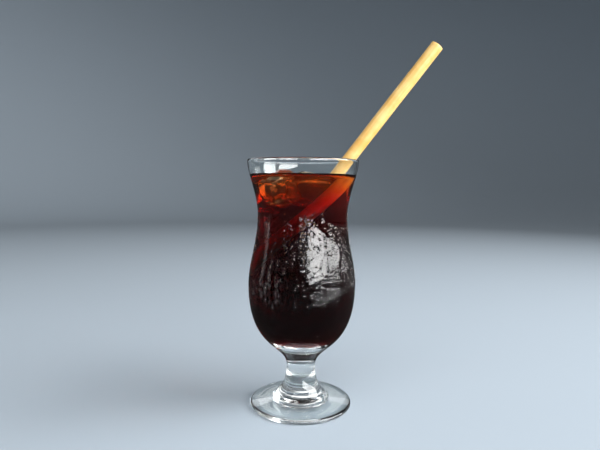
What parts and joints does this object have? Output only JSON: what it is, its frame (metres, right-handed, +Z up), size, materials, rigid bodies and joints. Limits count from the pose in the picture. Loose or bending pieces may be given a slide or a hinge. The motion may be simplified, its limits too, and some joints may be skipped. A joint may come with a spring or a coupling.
{
  "type": "iced coffee in a stemmed glass",
  "caption": "Black iced coffee in a clear waisted glass on a short stem with a round foot, with ice cubes at the surface and a slanted hollow cane straw resting on the rim.",
  "frame": {"origin": "middle of the flat underside of the foot, on the surface that the glass stands on", "axes": "+Z up along the axis of the glass, +X towards the side that the straw leans to, +Y away from the side that the picture shows"},
  "size_m": [0.1342, 0.079, 0.2591],
  "materials": {
    "clear_glass": "clear soda-lime glass, fire polished, misted with condensation round the bowl",
    "black_coffee": "clear dark liquid, red-brown where it is thin and near black where it is deep",
    "cane": "pale yellow dried cane with fine lengthwise fibres, satin",
    "ice": "clear wet ice, rounded by melting"
  },
  "bodies": {
    "root": {"glass": "clear_glass", "coffee": "black_coffee", "straw": "cane", "ice_front": "ice", "ice_back": "ice"}
  },
  "joints": []
}
